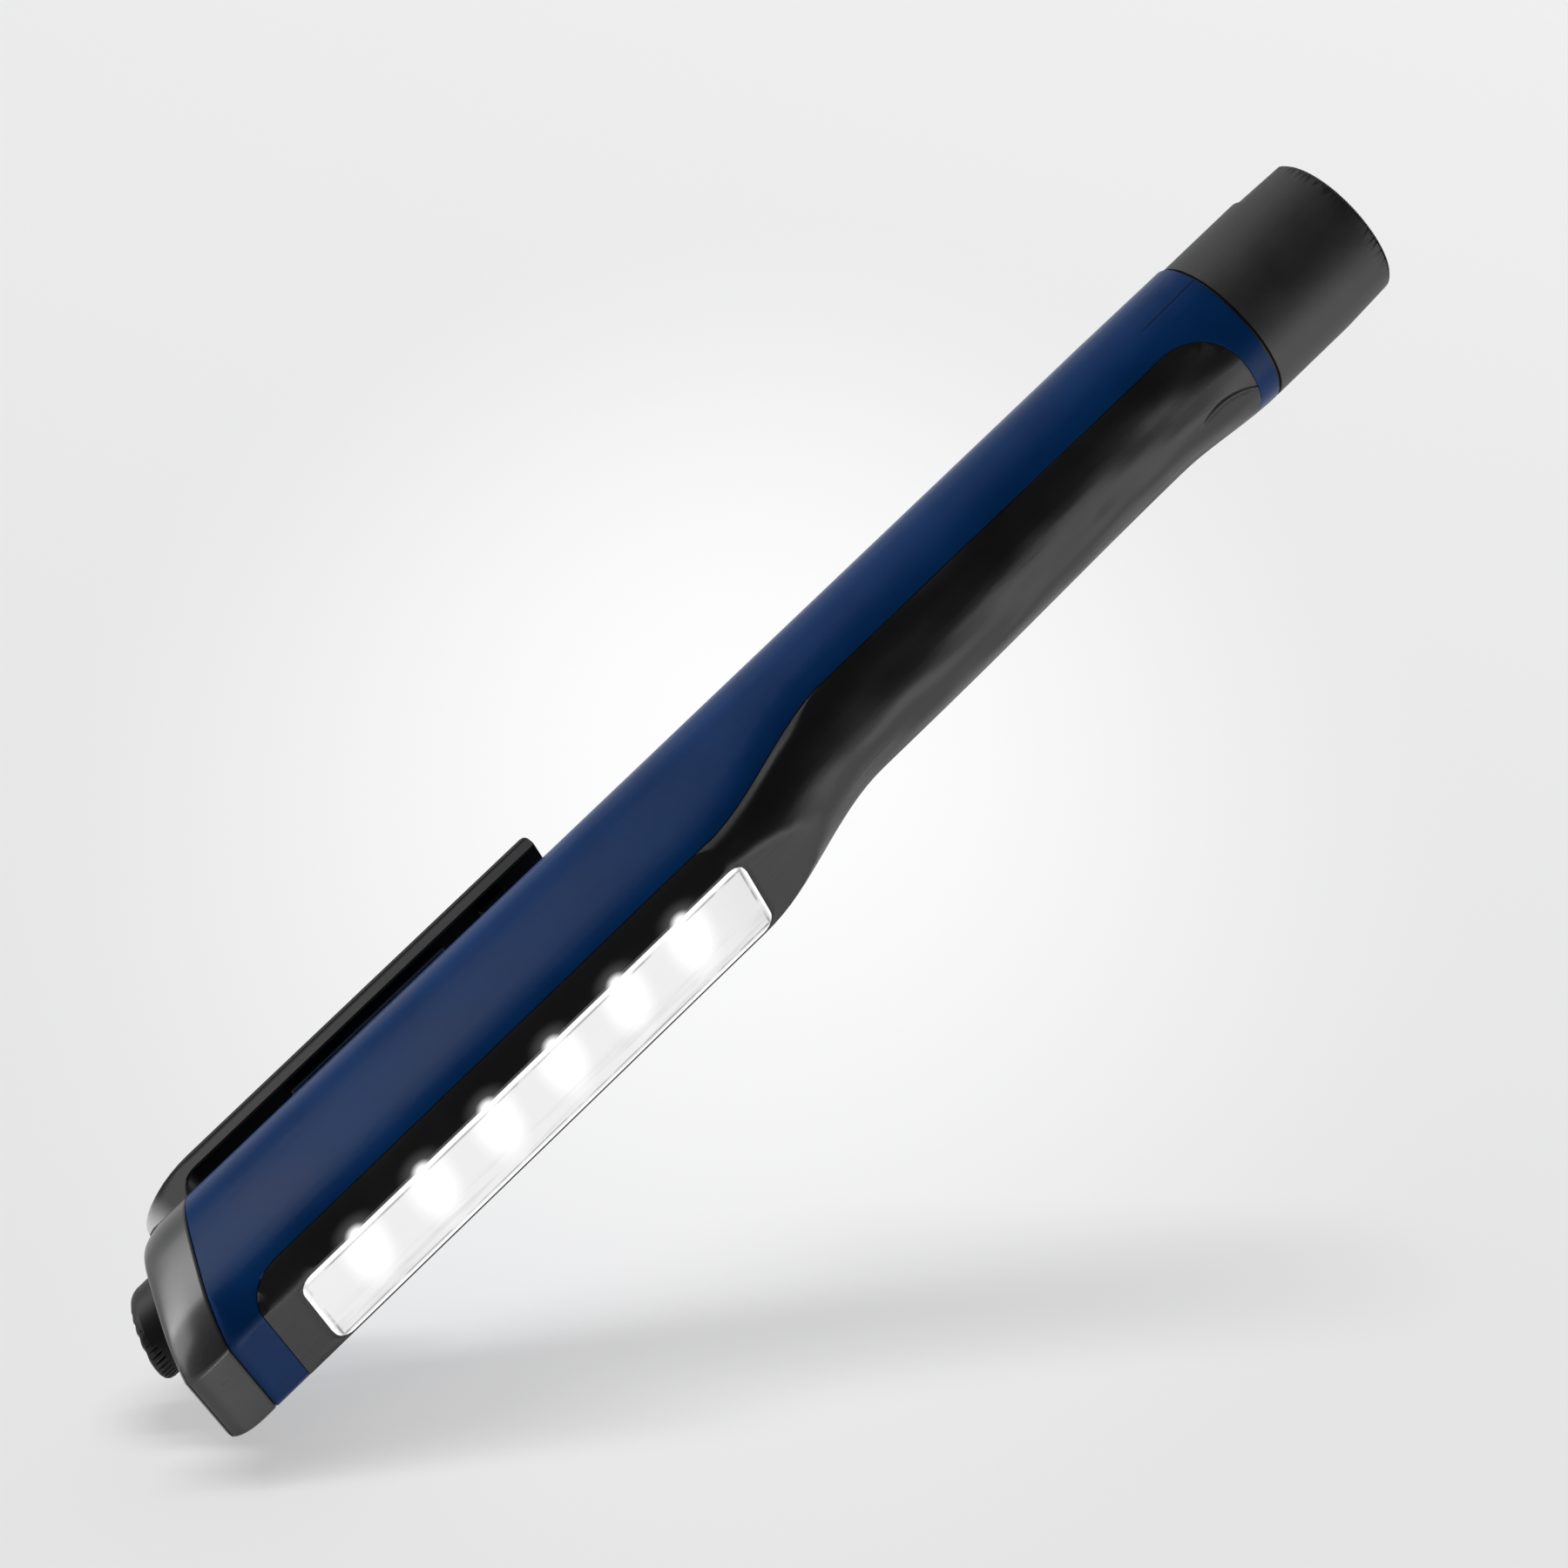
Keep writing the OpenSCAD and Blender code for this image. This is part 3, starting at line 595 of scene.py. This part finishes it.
x, _, z = coordinates(blue)
parting = falls(abs(z), line_core, line_edge) * between(x, line_start, line_full)
carve(blue, parting, depth=-0.09)
# painted shade: a darker blue along the parting line's groove
paint(blue, colour(2, 16, 36), parting * line_painted_shade)
carve(blue, stretched_noise(blue, long_grain), depth=0.025)
tail_end = between(x, end_start, end_full) * between(from_seam(x, z), clear_of_seam, well_clear)
soften(blue, 1.5, tail_end)
print("blue finish:", len(blue.node_tree.nodes), "nodes")

# %% Blue tube
lamp_section_cuts = list(range(-144, -78, 5))
grip_cuts = list(range(-50, -16, 6))
tube = skin("body_shell", "blue_tube", "housing", blue, radius=0.10, front=0.6,
            slices=lamp_section_cuts + grip_cuts, limited=False)

# %% [markdown]
# ## Thread for the head
#
# The tube's front end carries the thread that the head screws on. A three-sided section is turned
# along a screw line and taken out of the neck, as a cutting tool would do on a lathe. The thread
# shows only when the head is unscrewed.

# %% Thread
def screw_cutter(start, end, radius, depth, pitch, size=0.42, steps_per_turn=48):
    """A three-sided section turned along a screw line round X. Lengths are in mm."""
    bpy.ops.object.select_all(action="DESELECT")
    bpy.ops.mesh.primitive_circle_add(vertices=3, radius=size * MM, fill_type="NOTHING",
                                      location=(start * MM, 0, (radius - depth + size) * MM),
                                      rotation=(-pi / 2, 0, 0))
    cutter = bpy.context.object
    bpy.ops.object.transform_apply(location=True, rotation=True, scale=True)
    turns = (end - start) / pitch
    count = int(steps_per_turn * turns)
    apply_modifier(cutter, "screw_line", "SCREW", axis="X", angle=2 * pi * turns,
                   screw_offset=pitch * turns * MM, steps=count, render_steps=count)
    edit(cutter)
    bpy.ops.mesh.fill_holes(sides=3)
    face_outwards()
    close_edit()
    return cutter


def cut_away(piece, cutter):
    """Takes a cutter out of a piece, and the cutter out of the scene."""
    apply_modifier(piece, "cut", "BOOLEAN", operation="DIFFERENCE", solver="EXACT", object=cutter)
    bpy.data.objects.remove(cutter, do_unlink=True)
    shade(piece)
    print(piece.name, "has", len(piece.data.polygons), "faces after the cut")


cut_away(tube, screw_cutter(start=1.0, end=4.3, radius=6.9, depth=0.36, pitch=1.25))

# %% [markdown]
# ## Black bezel and grip
#
# One black moulding frames the lamp window and runs on as the grip. It reflects more strongly than
# the tube, and its surface is a little rougher. The grip has slow waves and one arched crease near
# the head, both drawn as bumps, and the edges at the tail end and at the bend are shaded rounder.
# The lit lamps throw a soft bloom of light over its upper edge, which the finish gives as a faint
# light of its own around each lamp.

# %% Black finish
black = finish("satin_black_plastic", colour(9, 9, 9), colour(15, 15, 15), rough=0.42,
               grain=4200, grain_depth=5e-6, Specular_IOR_Level=0.42)
grip_comes = (-74.0, -60.0)
tail_comes, tail_goes, front_comes = (-138.8, -138.0), (-132.0, -133.5), (8.9, 9.7)
bend_comes, bend_goes = (-79.0, -77.0), (-58.0, -64.0)
fold_behind, fold_curve, fold_height = 6.4, 0.10, 0.9
fold_half_width, fold_comes = 0.55, (-10.6, -8.8)
slow_waves, long_grain = (60, 150, 150), (120, 900, 900)

x, y, z = coordinates(black)
waves = stretched_noise(black, slow_waves, detail=1.0) * between(x, *grip_comes)
carve(black, waves, depth=1.6)
tail_end = between(x, *tail_comes) * between(x, *tail_goes) * between(z, *front_comes)
bend = between(x, *bend_comes) * between(x, *bend_goes)
soften(black, 1.4, tail_end + bend)
arch = y + reckon("POWER", x + fold_behind, 2.0) * fold_curve
fold = falls(abs(arch - fold_height), 0.0, fold_half_width) * between(x, *fold_comes)
carve(black, fold, depth=0.18)
carve(black, stretched_noise(black, long_grain), depth=0.03)
print("black finish:", len(black.node_tree.nodes), "nodes")

# %% Bloom on the bezel
edge_y, edge_z = 5.1, 10.55
near_stretch, wide_stretch, wide_strength = (1.3, 1.2), (2.4, 2.2), 0.09
side_comes = (4.6, 5.0)

off_edge = (y - edge_y) + (edge_z - z)
near = falls(lamp_distance(x, off_edge, *near_stretch), 0.10, 1.05)
wide = between(lamp_distance(x, off_edge, *wide_stretch), 0.0, 1.3, wide_strength, 0.0)
glowing(black, (near + wide) * between(y, *side_comes))
print("bloom runs along y = %.1f mm, z = %.2f mm" % (edge_y, edge_z))

# %% Black bezel
bezel_cuts = list(range(-138, -78, 5))
skin("front_insert", "black_grip", "housing", black, radius=0.18,
     slices=bezel_cuts + grip_cuts)

# %% [markdown]
# ## Side lamp cover
#
# A clear cover with a raised rim closes the lamp window. The lamps under it are lit and flood it
# with white light. That light could come from lamps in the scene, but a field drawn on the cover
# stays even and clean: it is bright all over, stronger over each lamp, and dims at the head end.
# The same drawn light gives a painted highlight along the rim, painted shade in a line along the
# groove inside it, and faint darker streaks on its low side.

# %% Light in the cover
milky = finish("lit_cover_plastic", colour(92, 92, 92), colour(100, 100, 100), rough=0.22,
               rough_change=0.04, grain=900, grain_depth=2e-6, Specular_IOR_Level=0.2)
window_behind, end_reach = 105.55, 24.35
field_light, dimmed_light, dims = 0.75, 0.69, (-84.0, -77.0)
spot_row, spot_stretch, spot_light = 2.6, (2.6, 6.0), 0.34
rim_light, rim_comes = 0.3, (4.74, 4.84)
groove_at, groove_shade, groove_fades = 4.50, 0.42, (0.04, 0.20)
streak_shade, streak_comes, low_side = 0.12, (0.45, 0.70), (0.0, -4.0)
even_grain, even_comes, long_streaks = (260, 260, 260), (0.35, 0.55), (120, 1400, 120)

x, y, _ = coordinates(milky)
from_end = abs(x + window_behind) - end_reach
from_middle = reckon("MAXIMUM", abs(y), from_end)
field = between(x, *dims, field_light, dimmed_light)
spots = between(lamp_distance(x, y - spot_row, *spot_stretch), 0.05, 1.35, spot_light, 0.0)
# painted highlight along the rim, then painted shade in a line along the groove inside it
rim = between(from_middle, *rim_comes, 0.0, rim_light)
groove_shade_line = between(abs(from_middle - groove_at), *groove_fades, groove_shade, 0.0)
groove_shade_line = groove_shade_line * between(stretched_noise(milky, even_grain), *even_comes)
streak = between(stretched_noise(milky, long_streaks), *streak_comes, 0.0, streak_shade)
streak = streak * between(y, *low_side)
glowing(milky, reckon("SUBTRACT", field + spots + rim - groove_shade_line, streak, clamp=True))
print("cover finish:", len(milky.node_tree.nodes), "nodes")

# %% [markdown]
# ## Rim of the cover
#
# The rim and the groove inside it follow the cover's outline at an even distance, so they are made
# by insets on its face: one for the rim's width, one down, one for the groove and one up again.

# %% Side lamp cover
def pick_faces(piece, test):
    """Selects the faces of the open piece whose middle (in mm) and normal pass a test."""
    bpy.ops.mesh.select_all(action="DESELECT")
    shape = bmesh.from_edit_mesh(piece.data)
    for face in shape.faces:
        face.select_set(test(face.calc_center_median() / MM, face.normal))
    bmesh.update_edit_mesh(piece.data)


cover = skin("strip_lens", "side_lamp_cover", "housing", milky, radius=0.10, steps=3)
edit(cover, "DESELECT")
just_under_top, nearly_level = 10.74, 0.999
pick_faces(cover, lambda middle, normal: normal.z > nearly_level and middle.z > just_under_top)
for width, rise in ((0.30, 0), (0.05, -0.06), (0.12, 0), (0.05, 0.04)):
    bpy.ops.mesh.inset(thickness=width * MM, depth=rise * MM)
close_edit()
shade(cover)
print("cover with its rim has", len(cover.data.polygons), "faces")

# %% [markdown]
# ## Under the cover
#
# A white tray, a board and six lamp packages sit under the cover. They are small and mostly
# hidden, so each keeps its solid's form and gets its own finish, and all but the board get an edge
# radius. A lamp package is white with a yellow spot of phosphor in its middle, which is drawn by
# the distance to the nearest lamp. A brick pattern makes the copper runs of a board, because real
# runs are straight and even too.

# %% Tray, board, lamps and resistors
tray_white = finish("white_tray_plastic", colour(214, 214, 210), colour(228, 228, 224), rough=0.35)
skin("strip_reflector", "white_lamp_tray", "housing", tray_white, radius=0.04)


def board_finish(name, mask, trace):
    """A circuit board: a lacquer colour with paler copper runs under it."""
    runs_per_metre, run_width, second_shade = 420.0, 0.12, 0.92
    material = finish(name, mask, mask, rough=0.32, grain=2500, grain_depth=2e-6)
    runs = add_node(material, "ShaderNodeTexBrick", Scale=runs_per_metre, Mortar_Size=run_width,
                    Color1=mask, Color2=[v * second_shade for v in mask[:3]] + [1], Mortar=trace)
    connect(material.node_tree.nodes["place"].outputs["Object"], runs.inputs["Vector"])
    connect(runs.outputs["Color"], shader_of(material).inputs["Base Color"])
    return material


white_board = board_finish("white_lamp_board", colour(222, 222, 216), colour(204, 206, 198))
skin("strip_board", "lamp_board", "housing", white_board, radius=0.0)
package = finish("lamp_package", colour(226, 226, 214), colour(236, 236, 226), rough=0.3)
x, y, _ = coordinates(package)
spot_full, spot_edge = 0.85, 0.95
paint(package, colour(238, 206, 72), falls(lamp_distance(x, y), spot_full, spot_edge))
skin("strip_leds", "side_lamps", "housing", package, radius=0.04)
ceramic = finish("resistor_ceramic", colour(22, 22, 24), colour(38, 38, 40), rough=0.3, grain=8000)
skin("strip_resistors", "lamp_resistors", "housing", ceramic, radius=0.03)

# %% [markdown]
# ## Tail cap
#
# The tail cap is a harder, shinier grey moulding with a slanted end. Its edges have a real radius
# of a third of a millimetre from a bevel. The crease round its flat front looks rounder still, so
# its shading is softened there, away from the seam, which stays crisp.

# %% Tail cap
cap_grey = finish("satin_grey_plastic", colour(38, 38, 38), colour(48, 48, 48), rough=0.28,
                  rough_change=0.04, grain=4200, grain_depth=1.5e-6)
front_comes, seam_comes = (8.2, 9.2), (-1.7, -0.5)
x, _, z = coordinates(cap_grey)
soften(cap_grey, 1.4, between(z, *front_comes) * falls(from_seam(x, z), *seam_comes))
cap = skin("tail_cap", "grey_tail_cap", "housing", cap_grey, radius=0.35, steps=4,
           limited=False)

# %% [markdown]
# ## Button
#
# The button is rubber, so it is dull, and forty flutes round its edge give the thumb a hold. One
# three-sided bar is set on its edge, spun round its middle into a ring of forty, and the ring is
# taken out of the button in one cut. Modelling one flute and copying it keeps them all alike.

# %% Button with its flutes
def notch_cutter(count, radius, length, x, z, tilt, middle=(0, 0, 0)):
    """Three-sided bars in a ring round a middle on an axis along X. Lengths are in mm."""
    bpy.ops.object.select_all(action="DESELECT")
    bpy.ops.mesh.primitive_cylinder_add(vertices=3, radius=radius * MM, depth=length * MM,
                                        location=(x * MM, 0, z * MM), rotation=(0, tilt, 0))
    cutter = bpy.context.object
    bpy.ops.object.transform_apply(location=True, rotation=True, scale=True)
    edit(cutter)
    bpy.ops.mesh.spin(steps=count - 1, dupli=True, angle=2 * pi * (count - 1) / count,
                      center=[v * MM for v in middle], axis=(1, 0, 0))
    face_outwards()
    close_edit()
    return cutter


rubber = finish("black_button_rubber", colour(12, 12, 12), colour(18, 18, 18), rough=0.5,
                grain=5000, grain_depth=1.2e-5, Specular_IOR_Level=0.35)
button = skin("push_button", "ribbed_button", "button", rubber, radius=0.05)
button_face, button_middle = -149.4, -2.0
cut_away(button, notch_cutter(count=40, radius=0.34, length=3.0, x=button_face, z=2.38,
                              tilt=-pi / 2, middle=(button_face, 0, button_middle)))

# %% [markdown]
# ## Clip and its magnet
#
# The clip springs out of the cap's back in a black like the grip's. Towards its root, where it
# leaves the cap, a pale grey is painted over the black as a painted reflection. A fine ridge runs
# along it, drawn as a bump. A pale nickel-coated magnet is set in its underside.

# %% Clip and magnet
clip_black = finish("black_clip_plastic", colour(9, 9, 9), colour(14, 14, 14), rough=0.30,
                    grain=3600, grain_depth=6e-6, Specular_IOR_Level=0.15)
x, _, z = coordinates(clip_black)
root_reflection_comes = (-137.0, -141.0)
ridge_below, ridge_core, ridge_edge = 12.2, 0.05, 0.22
# painted reflection: pale grey over the clip's root
paint(clip_black, colour(150, 150, 150), between(x, *root_reflection_comes))
carve(clip_black, falls(abs(z + ridge_below), ridge_core, ridge_edge), depth=0.12)
clip_skin = skin("clip", "spring_clip", "clip", clip_black, radius=0.28, steps=3)
magnet_coat = finish("nickel_magnet", colour(150, 150, 150), colour(172, 172, 170), rough=0.28,
                     grain=2600, grain_depth=2e-6, Metallic=1.0)
skin("clip_magnet", "clip_magnet_strip", "clip", magnet_coat, radius=0.10)

# %% [markdown]
# ## Head
#
# The screw-on head is a plain grey moulding that looks turned. Its front rim has fine teeth. They
# are made as the button's flutes are: one three-sided bar across the rim's small chamfer, spun
# round the axis in 180 copies, and taken out of the head in one cut.

# %% Head with its milled rim
head_grey = finish("satin_head_plastic", colour(27, 27, 27), colour(38, 38, 38), rough=0.56,
                   grain=4600, grain_depth=8e-6, patch=260, Specular_IOR_Level=0.6)
head = skin("head_shell", "grey_head", "head", head_grey, radius=0.1)
cut_away(head, notch_cutter(count=180, radius=0.22, length=1.0, x=16.53, z=8.21, tilt=-pi / 4))

# %% [markdown]
# ## Head lamp
#
# A clear window is held in the head by a ring. Behind it stand a mirrored cup and one white lamp
# with a yellow phosphor square. The window is clear plastic with a real refraction, so the cup
# behind it is seen as it would be.

# %% Window and mirror
ring_black = finish("ring_plastic", colour(16, 16, 16), colour(24, 24, 24), rough=0.30, grain=4200)
skin("lens_ring", "window_ring", "head", ring_black, radius=0.08, steps=3)
window = finish("clear_window_plastic", colour(246, 248, 250), colour(250, 251, 252), rough=0.06,
                rough_change=0.02, grain=600, grain_depth=5e-7, Transmission_Weight=1.0, IOR=1.49)
skin("head_lens", "head_window", "head", window, radius=0.05)
mirror = finish("mirrored_cup", colour(206, 208, 210), colour(222, 224, 226), rough=0.14,
                rough_change=0.05, grain=1400, grain_depth=1.5e-6, Metallic=1.0)
skin("head_reflector", "mirror_cup", "head", mirror, radius=0.05, smooth=50)

# %% Head lamp and its board
lamp_white = finish("head_lamp_package", colour(224, 224, 214), colour(236, 236, 228), rough=0.25)
square_full, square_edge = 0.80, 0.86
_, y, z = coordinates(lamp_white)
off_middle = reckon("MAXIMUM", abs(y), abs(z))
paint(lamp_white, colour(236, 204, 70), falls(off_middle, square_full, square_edge))
skin("head_led", "head_lamp", "head", lamp_white, radius=0.05, smooth=50)
green_board = board_finish("green_circuit_board", colour(22, 74, 44), colour(44, 104, 62))
skin("head_board", "head_lamp_board", "head", green_board, radius=0.0)
brass = finish("contact_brass", colour(176, 140, 74), colour(196, 160, 92), rough=0.28, grain=3200,
               grain_depth=3e-6, Metallic=1.0)
skin("head_contact", "head_contact_spring", "head", brass, radius=0.0, smooth=60)

# %% [markdown]
# ## Cells
#
# Three cells in thin sleeves lie in line in the tube. The sleeves are plain, with one copper band
# at the plus end. The three share one finish: the band is drawn from the place along one cell,
# which is what is left of X after whole cells are taken away.

# %% Cells
can_steel = finish("cell_can_steel", colour(168, 168, 166), colour(186, 186, 184), rough=0.24,
                   grain=2800, grain_depth=2e-6, Metallic=1.0)
sleeve_film = finish("cell_sleeve_film", colour(24, 26, 30), colour(30, 32, 36), rough=0.22,
                     grain=1500, grain_depth=3e-6)
cell_pitch = (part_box("cell_2")[0][0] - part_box("cell_1")[0][0]) / MM
cell_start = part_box("sleeve_1")[0][0] / MM
band_start, band_full = 32.0, 32.2
x, _, _ = coordinates(sleeve_film)
along_cell = reckon("FLOORED_MODULO", x - cell_start, abs(cell_pitch))
paint(sleeve_film, colour(172, 104, 52), between(along_cell, band_start, band_full))
print("one cell every", round(cell_pitch, 2), "mm")
for number in (1, 2, 3):
    skin("cell_%d" % number, "cell_can_%d" % number, "cells", can_steel, radius=0.08)
    skin("sleeve_%d" % number, "cell_sleeve_%d" % number, "cells", sleeve_film,
         radius=0.03)

# %% [markdown]
# ## Springs
#
# The cells feed the lamps through a spring behind them. A second spring returns the button. It
# stands on the switch and can't slide into it. Here it is attached to the button and gets a mesh of
# its own.

# %% Springs
wire = finish("spring_wire", colour(150, 150, 148), colour(176, 176, 172), rough=0.26, grain=3600,
              grain_depth=2e-6, Metallic=1.0)
skin("tail_spring", "cell_spring", "housing", wire, radius=0.0, smooth=60)
return_spring = skin("button_spring", "return_spring", "button", wire, radius=0.0,
                     smooth=60)
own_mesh(return_spring)

# %% [markdown]
# ## Switch, conductors and seal
#
# A plate, a return strip and two pins carry the current, and a push switch on a small board stands
# behind the cells. They show only when the flashlight is open, so each keeps its solid's form and
# gets a finish, and most get a small edge radius. The black seal is the thin line between the tube
# and the head.

# %% Switch, conductors and seal
skin("tail_contact", "spring_plate", "housing", brass, radius=0.03)
skin("return_strip", "return_conductor", "housing", brass, radius=0.03)
skin("lead_pins", "lamp_lead_pins", "housing", brass, radius=0.03, smooth=50)
skin("switch_board", "switch_carrier", "housing", green_board, radius=0.0)
switch_black = finish("switch_case_plastic", colour(20, 20, 20), colour(30, 30, 30), rough=0.36)
skin("switch_body", "switch_case", "housing", switch_black, radius=0.05)
skin("switch_plunger", "switch_pin", "button", switch_black, radius=0.05)
seal = finish("seal_rubber", colour(10, 10, 10), colour(16, 16, 16), rough=0.55, grain=5200,
              grain_depth=8e-6)
skin("seal_washer", "seal_ring", "housing", seal, radius=0.04, smooth=50)

# %% [markdown]
# ## Which lamp lights what
#
# In a studio, flags keep a lamp's light off some things, and light linking does the same here. The
# left, right and tail boxes leave out the floor, and the shadow lamp lights only the floor, so the
# floor has one soft shadow. The cap's box lights only the cap and the clip. The shadow in the
# photograph is slimmer than the flashlight, so the tube, the cap, the clip and the button don't
# block the shadow lamp: the grip, the head and the pieces inside throw the shadow.

# %% Flags
def flag(lamp, pieces, state, blocking=False):
    """Lets a lamp light only these pieces or all but these, or says which pieces stop its light."""
    group = bpy.data.collections.new(lamp.name + ("_blockers" if blocking else "_receivers"))
    for number, piece in enumerate(pieces):
        group.objects.link(piece)
        group.collection_objects[number].light_linking.link_state = state
    setattr(lamp.light_linking, "blocker_collection" if blocking else "receiver_collection", group)
    print(group.name + ":", state.lower(), [piece.name for piece in pieces])


for box in (left_box, right_box, tail_box):
    flag(box, [floor], "EXCLUDE")
flag(shadow_lamp, [floor], "INCLUDE")
flag(cap_box, [cap, clip_skin], "INCLUDE")
flag(shadow_lamp, [cap, clip_skin, button, tube], "EXCLUDE", blocking=True)
